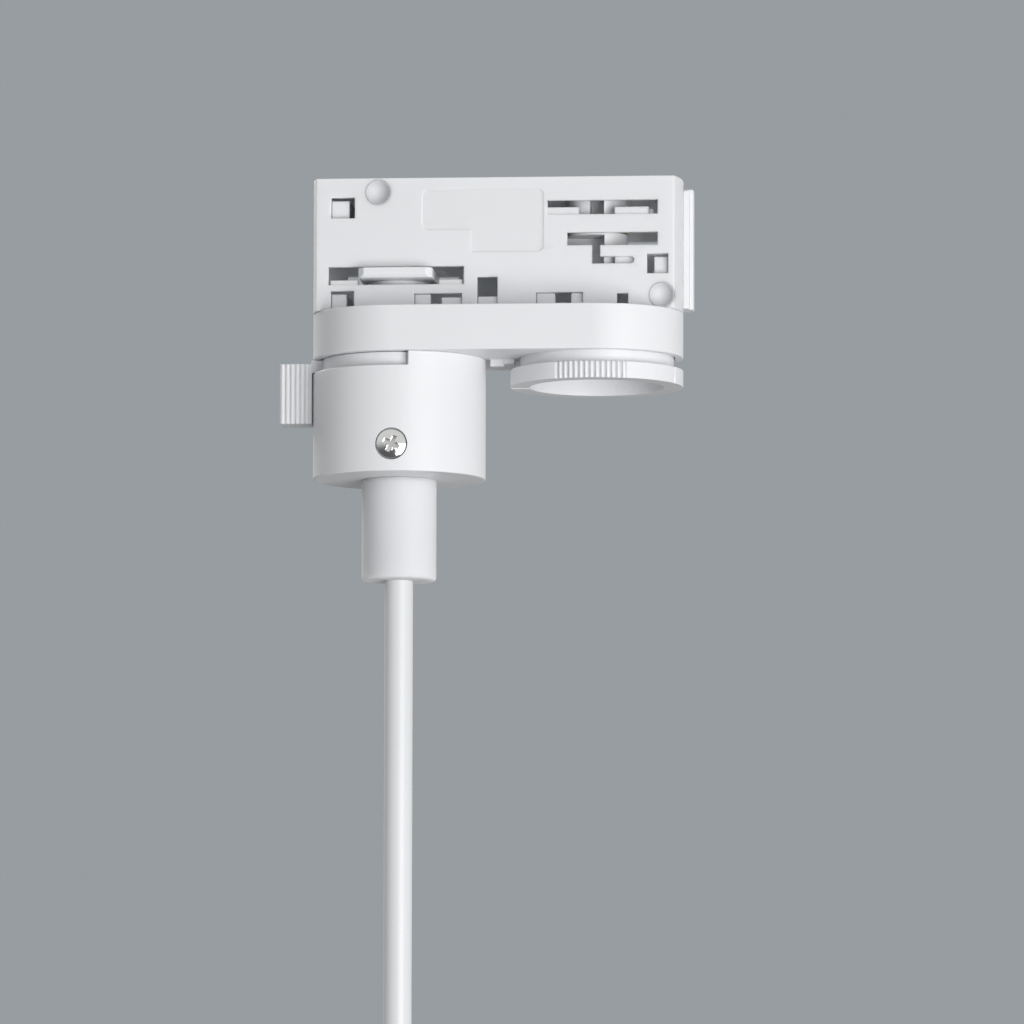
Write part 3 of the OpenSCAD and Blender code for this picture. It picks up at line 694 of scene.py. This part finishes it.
@dataclass
class Tower(SubAssembly):
    """The slotted tower that goes up into the track."""

    front_edge: float = 0.08 * MM
    rear_edge: float = 0.1 * MM
    pin_edge: float = 0.06 * MM
    key_edge: float = 0.2 * MM
    inside: QuietZone = QuietZone(in_mm(0.0, 0.0, 12.5), in_mm(35.5, 7.5, 13.0), BOX_POWER)
    low_pin_seat: QuietZone = QuietZone(in_mm(32.8, -8.0, 2.6), in_mm(2.75, 1.5, 2.75))
    top_pin_seat: QuietZone = QuietZone(in_mm(-23.1, -8.0, 23.4), in_mm(2.75, 1.5, 2.75))

    def build(self, solids: Solids) -> None:
        """Builds the two shells, their pins and the guide key, and dresses the leaf contacts.

        Args:
            solids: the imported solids, by name.
        """
        home, white = Body.HOUSING, Slot.WHITE
        front_quiet = (self.inside, self.low_pin_seat, self.top_pin_seat)
        self.soften(
            solids,
            SoftenedMoulding("front_shell", home, white, self.front_edge,
                             quiet=front_quiet, finish=THIN_WALL),
            SoftenedMoulding("rear_shell", home, white, self.rear_edge,
                             quiet=(self.inside,), finish=THIN_WALL),
            # the pins' darker colour is painted shade for their dished ends
            SoftenedMoulding("housing_pins", home, white, self.pin_edge, finish=SHADED_PIN_MOULDING),
            SoftenedMoulding("guide_key", home, white, self.key_edge),
        )
        self.carry_over(solids, Slot.BRASS, "live_brush", "neutral_brush")
        self.carry_over(solids, Slot.PLATED, "earth_brush")


@dataclass
class Collar(SubAssembly):
    """The stadium collar under the track, with the plate that closes it."""

    edge: float = 0.25 * MM
    plate_edge: float = 0.15 * MM

    def build(self, solids: Solids) -> None:
        """Builds the collar and its plate, and dresses the leaf beside the selector.

        Args:
            solids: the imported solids, by name.
        """
        home, white = Body.HOUSING, Slot.WHITE
        self.soften(
            solids,
            SoftenedMoulding("base_collar", home, white, self.edge),
            SoftenedMoulding("base_plate", home, white, self.plate_edge),
        )
        self.carry_over(solids, Slot.SPRING, "detent_spring")


@dataclass
class CableOutlet(SubAssembly):
    """The pot with its clamp screw, and the sleeve under it."""

    edge: float = 0.25 * MM
    sleeve_edge: float = 0.2 * MM
    screw_edge: float = 0.06 * MM
    seat_half: Vector = field(default_factory=lambda: in_mm(5.0, 9.0, 5.0))

    def build(self, solids: Solids) -> None:
        """Builds the pot, the sleeve and the screws, and dresses what they hold.

        Args:
            solids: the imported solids, by name.
        """
        home = Body.HOUSING
        low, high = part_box("clamp_screw")
        screw_head = Vector(((low.x + high.x) / 2, low.y, (low.z + high.z) / 2))
        screw_seat = QuietZone(screw_head, self.seat_half)
        self.soften(
            solids,
            SoftenedMoulding("cable_pot", home, Slot.WHITE, self.edge, quiet=(screw_seat,)),
            SoftenedMoulding("cord_sleeve", home, Slot.SLEEVE, self.sleeve_edge),
            SoftenedMoulding("clamp_screw", home, Slot.PLATED, self.screw_edge),
            SoftenedMoulding("pot_screws", home, Slot.PLATED, self.screw_edge),
        )
        self.carry_over(solids, Slot.INNER, "cord_clamp")
        self.carry_over(solids, Slot.JACKET, "cord_tail")
        self.carry_over(solids, Slot.BROWN, "live_core")
        self.carry_over(solids, Slot.BLUE, "neutral_core")
        self.carry_over(solids, Slot.EARTH, "earth_core")


@dataclass
class LockGroup(SubAssembly):
    """The lever, its rotor and the wing that holds the adapter in the track."""

    edge: float = 0.2 * MM
    lever_edge: float = 0.12 * MM

    def build(self, solids: Solids) -> None:
        """Builds the lever, the wing and the rotor, and dresses the contacts.

        Args:
            solids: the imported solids, by name.
        """
        lock = Body.LOCK
        self.soften(
            solids,
            SoftenedMoulding("lock_lever", lock, Slot.WHITE, self.lever_edge),
            SoftenedMoulding("lock_wing", lock, Slot.WHITE, self.edge),
            SoftenedMoulding("lock_rotor", lock, Slot.INNER, self.edge),
        )
        self.carry_over(solids, Slot.BRASS, "neutral_contact")
        self.carry_over(solids, Slot.PLATED, "earth_contact")
        self.carry_over(solids, Slot.SPRING, "lock_clip")


@dataclass
class SelectorGroup(SubAssembly):
    """The selector ring with its rotor and contacts."""

    edge: float = 0.12 * MM
    screw_edge: float = 0.1 * MM
    drum: QuietZone = QuietZone(in_mm(19.5, 0.0, 12.0), in_mm(9.0, 9.0, 16.0), BOX_POWER)

    def build(self, solids: Solids) -> None:
        """Builds the ring, the rotor and the screw, and dresses the contacts.

        Args:
            solids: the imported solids, by name.
        """
        selector = Body.SELECTOR
        self.soften(
            solids,
            SoftenedMoulding("selector_ring", selector, Slot.WHITE, self.edge),
            SoftenedMoulding("selector_rotor", selector, Slot.INNER, self.edge, quiet=(self.drum,)),
            SoftenedMoulding("selector_screw", selector, Slot.PLATED, self.screw_edge),
        )
        self.carry_over(solids, Slot.BRASS, "slip_ring", "upper_contact", "lower_contact")


class SweepTree:
    """Geometry Nodes: a round bar swept along the line of the mesh that carries it."""

    NAME = "round_sweep"
    RADIUS = 1.0 * MM
    SIDES = 24

    @classmethod
    def tree(cls) -> bpy.types.NodeTree:
        """Returns the tree, built on its first use."""
        return bpy.data.node_groups.get(cls.NAME) or cls._build()

    @classmethod
    def identifier(cls, name: str) -> str:
        """Finds an input of the tree.

        Args:
            name: the name of the input.

        Returns:
            Its identifier.

        Raises:
            KeyError: the tree has no input of that name.
        """
        for item in cls.tree().interface.items_tree:
            if item.name == name and item.in_out == Way.IN.value:
                return item.identifier
        raise KeyError(name)

    @classmethod
    def _build(cls) -> bpy.types.NodeTree:
        """Builds the tree: line to curve, round profile, capped tube, material.

        Returns:
            The new tree.
        """
        graph = Graph(bpy.data.node_groups.new(cls.NAME, "GeometryNodeTree"))
        graph.socket("Geometry", Way.IN, "NodeSocketGeometry")
        graph.socket("Radius", Way.IN, "NodeSocketFloat", cls.RADIUS)
        graph.socket("Sides", Way.IN, "NodeSocketInt", cls.SIDES)
        graph.socket("Material", Way.IN, "NodeSocketMaterial")
        graph.socket("Geometry", Way.OUT, "NodeSocketGeometry")
        source = graph.add("NodeGroupInput")
        result = graph.add("NodeGroupOutput")
        line = graph.add("GeometryNodeMeshToCurve")
        profile = graph.add("GeometryNodeCurvePrimitiveCircle")
        tube = graph.add("GeometryNodeCurveToMesh", {"Fill Caps": True})
        smooth = graph.add("GeometryNodeSetShadeSmooth")
        real = graph.add("GeometryNodeRealizeInstances")
        paint = graph.add("GeometryNodeSetMaterial")
        graph.join(source.outputs["Geometry"], line.inputs["Mesh"])
        graph.join(source.outputs["Radius"], profile.inputs["Radius"])
        graph.join(source.outputs["Sides"], profile.inputs["Resolution"])
        graph.join(line.outputs["Curve"], tube.inputs["Curve"])
        graph.join(profile.outputs["Curve"], tube.inputs["Profile Curve"])
        graph.join(tube.outputs["Mesh"], smooth.inputs["Geometry"])
        graph.join(smooth.outputs["Geometry"], real.inputs["Geometry"])
        graph.join(real.outputs["Geometry"], paint.inputs["Geometry"])
        graph.join(source.outputs["Material"], paint.inputs["Material"])
        graph.join(paint.outputs["Geometry"], result.inputs["Geometry"])
        return graph.tree


def sweep(name: str, points: list[Vector], radius: float, sides: int, slot: Slot) -> bpy.types.Object:
    """Sweeps a round bar along points, with the Geometry Nodes tree.

    Args:
        name: the name of the piece.
        points: the line that it follows.
        radius: the radius of the bar.
        sides: the number of sides of its profile.
        slot: the slot of its finish.

    Returns:
        The bar as a plain mesh.
    """
    line = bpy.data.meshes.new(name)
    line.from_pydata(points, [(i, i + 1) for i in range(len(points) - 1)], [])
    piece = show(name, line)
    nodes = piece.modifiers.new("sweep", "NODES")
    nodes.node_group = SweepTree.tree()
    nodes[SweepTree.identifier("Radius")] = radius
    nodes[SweepTree.identifier("Sides")] = sides
    nodes[SweepTree.identifier("Material")] = FINISHES[slot].material()
    return settle(piece)


@dataclass
class PendantCable(SubAssembly):
    """The free cable, held taut by the lamp below, and the grip on its end."""

    axis_x: float = -19.5 * MM
    radius: float = 2.8 * MM
    top: float = -52.7 * MM
    length: float = 97.3 * MM
    route_points: int = 17
    sides: int = 48
    grip_edge: float = 0.3 * MM
    grip_hole_depth: float = 8.0 * MM
    grip_hole_reach: float = 3.5 * MM
    nipple_radius: float = 5.0 * MM
    nipple_length: float = 10.0 * MM
    thread_pitch: float = 1.0 * MM
    thread_ridge: float = 0.28 * MM
    thread_sunk: float = 0.4
    thread_sides: int = 8
    turn_points: int = 32

    def route(self) -> list[Vector]:
        """Returns the cable's line, straight down from the sleeve."""
        step = self.length / (self.route_points - 1)
        return [Vector((self.axis_x, 0.0, self.top - step * i)) for i in range(self.route_points)]

    def build(self, solids: Solids) -> None:
        """Builds the cable, the grip and the thread on its nipple.

        Args:
            solids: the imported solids, by name.
        """
        points = self.route()
        cable = sweep("pendant_cable", points, self.radius, self.sides, Slot.JACKET)
        seat(cable, Body.HOUSING, Slot.JACKET, "cord")
        low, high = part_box("cord_grip")
        hole = Vector((self.axis_x, low.y, high.z - self.grip_hole_depth))
        hole_zone = QuietZone(hole, Vector((1.0, 1.0, 1.0)) * self.grip_hole_reach)
        grip = SoftenedMoulding("cord_grip", Body.HOUSING, Slot.WHITE, self.grip_edge,
                                quiet=(hole_zone,)).build(solids["cord_grip"])
        thread = self._thread()

    def _thread(self) -> bpy.types.Object:
        """Builds the ridge of the thread, sunk into the nipple by a part of its radius.

        Returns:
            The finished ridge.
        """
        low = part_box("cord_grip")[0].z
        turns = (self.nipple_length - 2 * self.thread_pitch) / self.thread_pitch
        count = int(turns * self.turn_points)
        around = self.nipple_radius - self.thread_sunk * self.thread_ridge
        points = []
        for i in range(count + 1):
            angle = 2 * math.pi * i / self.turn_points
            height = low + self.thread_pitch * (1 + i / self.turn_points)
            points.append(Vector((self.axis_x + around * math.cos(angle),
                                  around * math.sin(angle), height)))
        thread = sweep("nipple_thread", points, self.thread_ridge, self.thread_sides, Slot.WHITE)
        return seat(thread, Body.HOUSING, Slot.WHITE)


@dataclass(frozen=True)
class SoftLamp:
    """A square area lamp that faces the object.

    Attributes:
        name: the name of the lamp.
        azimuth: degrees to the right of the front.
        elevation: degrees above the level.
        distance: distance from the aim point.
        size: side of the square.
        power: power in watts.
    """

    name: str
    azimuth: float
    elevation: float
    distance: float
    size: float
    power: float


@dataclass
class Studio:
    """The camera of the photograph, a pale floor and soft light.

    Attributes:
        aim: the point that the camera and the lamps face.
        azimuth: degrees of the camera to the right of the front.
        elevation: degrees of the camera above the level.
        roll: degrees that the camera is turned about its view.
        distance: distance of the camera from the aim point.
        frame_width: width of the picture at the aim point.
        sensor: width of the camera's sensor, in millimetres.
        view_end: distance past which nothing is drawn.
        key: a large lamp at the front right, a little below the level.
        back_fill: a lamp for the rear.
        backdrop: the colour behind the object.
        sky: strength of the soft light from above.
        ground: strength of the soft light from below.
        mirror_sky: what shiny surfaces show above the level.
        mirror_ground: what shiny surfaces show below the level.
        level_blend: half height of the change at the level, on the unit sphere.
        floor_gap: room between the cable's end and the floor.
        floor_size: side of the floor.
        floor_shade: colour of the floor.
        floor_rough: roughness of the floor.
    """

    aim: Vector = field(default_factory=lambda: in_mm(2.79, 0.0, -39.16))
    azimuth: float = 4.90
    elevation: float = -6.35
    roll: float = 0.14
    distance: float = 2.0
    frame_width: float = 201.3 * MM
    sensor: float = 36.0
    view_end: float = 20.0
    key: SoftLamp = SoftLamp("key", azimuth=34.0, elevation=-15.0, distance=1.3, size=0.9, power=15.2)
    back_fill: SoftLamp = SoftLamp("back_fill", azimuth=215.0, elevation=30.0, distance=1.6,
                                   size=0.9, power=12.0)
    backdrop: Colour = (0.309, 0.337, 0.352)
    sky: float = 0.42
    ground: float = 0.28
    mirror_sky: float = 0.80
    mirror_ground: float = 0.12
    level_blend: float = 0.3
    floor_gap: float = 12.0 * MM
    floor_size: float = 4.0
    floor_shade: Colour = (0.6, 0.62, 0.63)
    floor_rough: float = 0.7

    def build(self) -> None:
        """Sets up the camera, the lamps, the world and the floor."""
        self._camera()
        self._lamp(self.key)
        self._lamp(self.back_fill)
        self._world()
        self._floor()
        bpy.context.scene.view_settings.view_transform = "Standard"

    def _towards(self, azimuth: float, elevation: float) -> Vector:
        """Returns the direction from the object at an azimuth and elevation in degrees."""
        a, e = math.radians(azimuth), math.radians(elevation)
        return Vector((math.sin(a) * math.cos(e), -math.cos(a) * math.cos(e), math.sin(e)))

    def _camera(self) -> None:
        """Places the camera as the photograph was taken."""
        data = bpy.data.cameras.new("photo_camera")
        data.sensor_width = self.sensor
        data.lens = self.sensor * self.distance / self.frame_width
        data.clip_end = self.view_end
        camera = bpy.data.objects.new("photo_camera", data)
        back = self._towards(self.azimuth, self.elevation)
        turn = (-back).to_track_quat("-Z", "Y").to_matrix()
        turn = turn @ Matrix.Rotation(math.radians(self.roll), 3, "Z")
        camera.matrix_world = Matrix.Translation(self.aim + back * self.distance) @ turn.to_4x4()
        bpy.context.scene.collection.objects.link(camera)
        bpy.context.scene.camera = camera

    def _lamp(self, lamp: SoftLamp) -> None:
        """Places one lamp.

        Args:
            lamp: its name, place, size and power.
        """
        data = bpy.data.lights.new(lamp.name, "AREA")
        data.shape = "SQUARE"
        data.size = lamp.size
        data.energy = lamp.power
        light = bpy.data.objects.new(lamp.name, data)
        back = self._towards(lamp.azimuth, lamp.elevation)
        turn = (-back).to_track_quat("-Z", "Y").to_matrix().to_4x4()
        light.matrix_world = Matrix.Translation(self.aim + back * lamp.distance) @ turn
        bpy.context.scene.collection.objects.link(light)

    def _world(self) -> None:
        """Shows the grey backdrop to the camera, and lights more from above than from below."""
        world = bpy.data.worlds.new("studio")
        bpy.context.scene.world = world
        world.use_nodes = True
        graph = Graph(world.node_tree)
        graph.tree.nodes.clear()
        path = graph.add("ShaderNodeLightPath")
        soft = self._two_tone(graph, self.ground, self.sky)
        mirror = self._two_tone(graph, self.mirror_ground, self.mirror_sky)
        backdrop = graph.add("ShaderNodeBackground", {"Color": (*self.backdrop, 1.0)})
        light = graph.mix_shaders(path.outputs["Is Glossy Ray"], soft, mirror)
        shown = graph.mix_shaders(path.outputs["Is Camera Ray"], light, backdrop.outputs[0])
        out = graph.add("ShaderNodeOutputWorld")
        graph.join(shown, out.inputs["Surface"])

    def _two_tone(self, graph: Graph, low: float, high: float) -> bpy.types.NodeSocket:
        """Adds a white light that changes at the level.

        Args:
            graph: the world's nodes.
            low: its strength below the level.
            high: its strength above the level.

        Returns:
            The output of the light.
        """
        place = graph.add("ShaderNodeTexCoord")
        split = graph.add("ShaderNodeSeparateXYZ")
        change = {"From Min": -self.level_blend, "From Max": self.level_blend,
                  "To Min": low, "To Max": high}
        level = graph.add("ShaderNodeMapRange", change, interpolation_type="SMOOTHSTEP")
        light = graph.add("ShaderNodeBackground", {"Color": (1.0, 1.0, 1.0, 1.0)})
        graph.join(place.outputs["Generated"], split.inputs[0])
        graph.join(split.outputs["Z"], level.inputs["Value"])
        graph.join(level.outputs["Result"], light.inputs["Strength"])
        return light.outputs[0]

    def _floor(self) -> None:
        """Lays a pale floor below the cable's end, which can be looked through from below."""
        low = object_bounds()[0].z - self.floor_gap
        half = self.floor_size / 2
        mesh = bpy.data.meshes.new("floor")
        corners = [(-half, -half, low), (half, -half, low), (half, half, low), (-half, half, low)]
        mesh.from_pydata(corners, [], [(0, 1, 2, 3)])
        floor = show("floor", mesh)
        material = bpy.data.materials.new("floor_paint")
        material.use_nodes = True
        graph = Graph(material.node_tree)
        shader = graph.tree.nodes["Principled BSDF"]
        set_inputs(shader, {"Base Color": (*self.floor_shade, 1.0), "Roughness": self.floor_rough})
        side = graph.add("ShaderNodeNewGeometry")
        clear = graph.add("ShaderNodeBsdfTransparent")
        paint = graph.mix_shaders(side.outputs["Backfacing"], shader.outputs[0], clear.outputs[0])
        graph.join(paint, graph.tree.nodes["Material Output"].inputs["Surface"])
        mesh.materials.append(material)
        floor.visible_diffuse = False
        floor.visible_glossy = False
        floor.visible_shadow = False
        floor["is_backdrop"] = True


def clear_scene() -> None:
    """Removes what a new file holds."""
    for thing in list(bpy.data.objects):
        bpy.data.objects.remove(thing)


def main() -> None:
    """Builds the studio and every sub-assembly in order."""
    logging.basicConfig(level=logging.INFO, format="%(name)s: %(message)s")
    clear_scene()
    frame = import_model()
    Studio().build()
    groups = (PendantCable(), Tower(), Collar(), CableOutlet(), LockGroup(), SelectorGroup())
    for group in groups:
        group.build(frame["nodes"])


if __name__ == "__main__":
    main()
